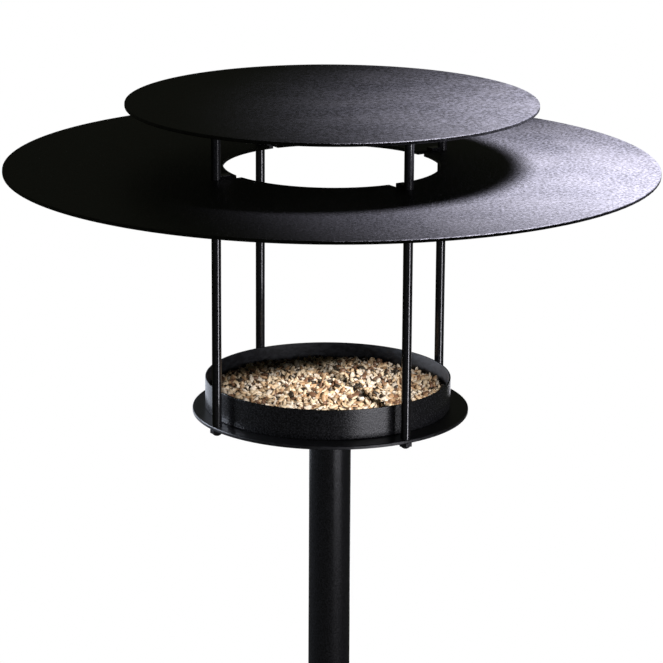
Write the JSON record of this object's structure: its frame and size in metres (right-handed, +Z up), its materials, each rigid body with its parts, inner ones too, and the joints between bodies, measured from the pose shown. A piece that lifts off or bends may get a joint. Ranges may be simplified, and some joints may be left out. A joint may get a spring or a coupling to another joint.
{
  "type": "bird feeder on pole",
  "caption": "Black steel bird feeder on a ground pole: a round seed tray on a base plate, slim rods, and a large ring roof with a smaller disc above it.",
  "frame": {"origin": "on the pole's axis at ground level, on the foot plate's underside", "axes": "+Z up along the pole, -Y the front, +X to the right seen from the front"},
  "size_m": [0.5499, 0.55, 1.7675],
  "materials": {
    "roof_coat": "satin black powder coat with a fine speckled texture",
    "frame_coat": "satin black powder coat",
    "tray_coat": "satin black powder coat",
    "pole_coat": "satin black powder coat",
    "nut_coat": "black painted steel",
    "screw_steel": "plain zinc-plated steel",
    "turned_steel": "galvanised steel, dull",
    "bush_nylon": "black nylon",
    "seed": "husked sunflower hearts and crushed nuts, cream to brown"
  },
  "bodies": {
    "lower_pole": {"pole_lower": "pole_coat", "pole_joiner": "turned_steel", "joiner_screw": "nut_coat", "spike_plug": "turned_steel", "foot_plate": "pole_coat", "ground_spike": "turned_steel", "spike_screw": "nut_coat"},
    "upper_pole": {"pole_upper": "pole_coat"},
    "bush": {"top_bush": "bush_nylon"},
    "head": {"head_spigot": "turned_steel", "spigot_screws": "screw_steel", "base_plate": "frame_coat", "cap_nuts": "nut_coat", "roof_bosses": "frame_coat", "upper_roof": "roof_coat", "lower_roof": "roof_coat", "rod_back_right": "frame_coat", "rod_back_left": "frame_coat", "rod_front_left": "frame_coat", "rod_front_right": "frame_coat", "roof_lug_back_right": "frame_coat", "roof_lug_back_left": "frame_coat", "roof_lug_front_left": "frame_coat", "roof_lug_front_right": "frame_coat"},
    "tray": {"tray": "tray_coat", "seed_bed": "seed"}
  },
  "joints": [
    {"name": "section_lift", "type": "slide", "parent": "lower_pole", "child": "upper_pole", "axis": [0, 0, 1], "range_m": [0, 0.085]},
    {"name": "head_turn", "type": "hinge", "parent": "upper_pole", "child": "bush", "pos_m": [0, 0, 1.198], "axis": [0, 0, 1], "continuous": true},
    {"name": "head_lift", "type": "slide", "parent": "bush", "child": "head", "axis": [0, 0, 1], "range_m": [0, 0.065]},
    {"name": "tray_lift", "type": "slide", "parent": "head", "child": "tray", "axis": [0, 0, 1], "range_m": [0, 0.15]}
  ]
}
